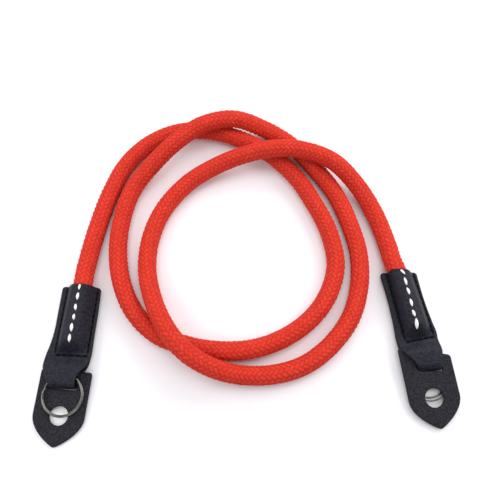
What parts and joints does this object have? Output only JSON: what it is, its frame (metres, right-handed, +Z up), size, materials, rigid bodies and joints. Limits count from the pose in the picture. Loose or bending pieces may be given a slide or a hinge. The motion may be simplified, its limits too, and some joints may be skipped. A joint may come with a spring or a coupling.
{
  "type": "rope camera strap",
  "caption": "Looped braided rope strap with folded leather ends, each with a pointed slotted leather tab and a split ring that fastens to a camera lug.",
  "frame": {"origin": "on the table, below the middle of the box round the two leather ends and their rings, without the rope", "axes": "+Z up from the table, +X from the left end to the right one, +Y from the tabs towards the rope loops"},
  "size_m": [0.2166, 0.1881, 0.0207],
  "materials": {
    "red_braid": "matt braided polyester",
    "smooth_leather": "satin smooth",
    "grained_leather": "matt grained",
    "blackened_steel": "blackened, worn to grey"
  },
  "bodies": {
    "root": {"rope": "red_braid", "left_end_strap": "smooth_leather", "right_end_strap": "smooth_leather", "left_tab": "grained_leather", "right_tab": "grained_leather", "left_ring": "blackened_steel", "right_ring": "blackened_steel"}
  },
  "joints": []
}
